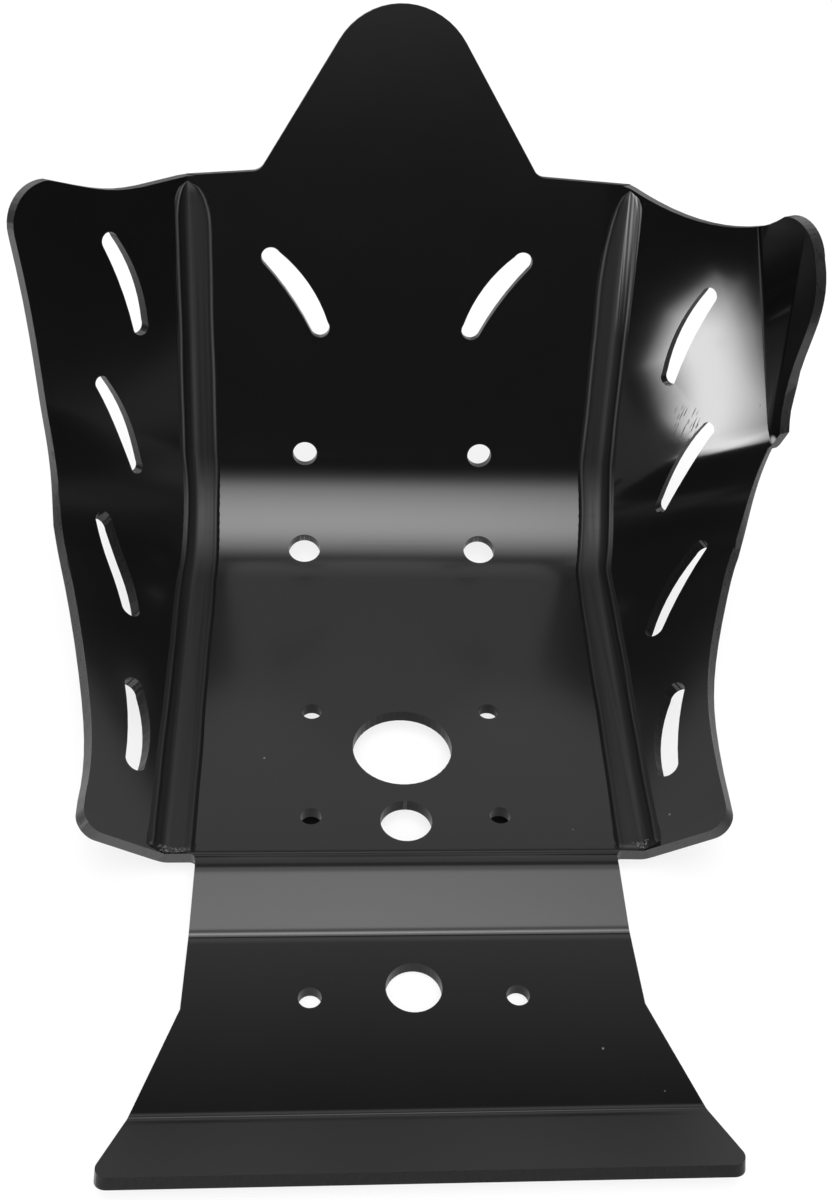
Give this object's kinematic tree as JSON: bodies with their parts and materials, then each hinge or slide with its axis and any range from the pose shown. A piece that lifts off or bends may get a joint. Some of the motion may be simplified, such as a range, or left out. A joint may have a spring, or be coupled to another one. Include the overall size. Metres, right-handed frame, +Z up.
{
  "type": "motorcycle skid plate",
  "caption": "Skid plate folded from thick black plastic sheet: a trough with slotted wings, a tongue and a stepped tail, bolted under an off-road motorcycle's engine.",
  "frame": {"origin": "centre of the four floor bolt holes, on the inner face of the floor", "axes": "+X to the rider's right, +Y forwards along the floor, +Z up from the floor"},
  "size_m": [0.3767, 0.4574, 0.268],
  "materials": {
    "sheet": "satin"
  },
  "bodies": {
    "root": {"skid_plate": "sheet"}
  },
  "joints": []
}
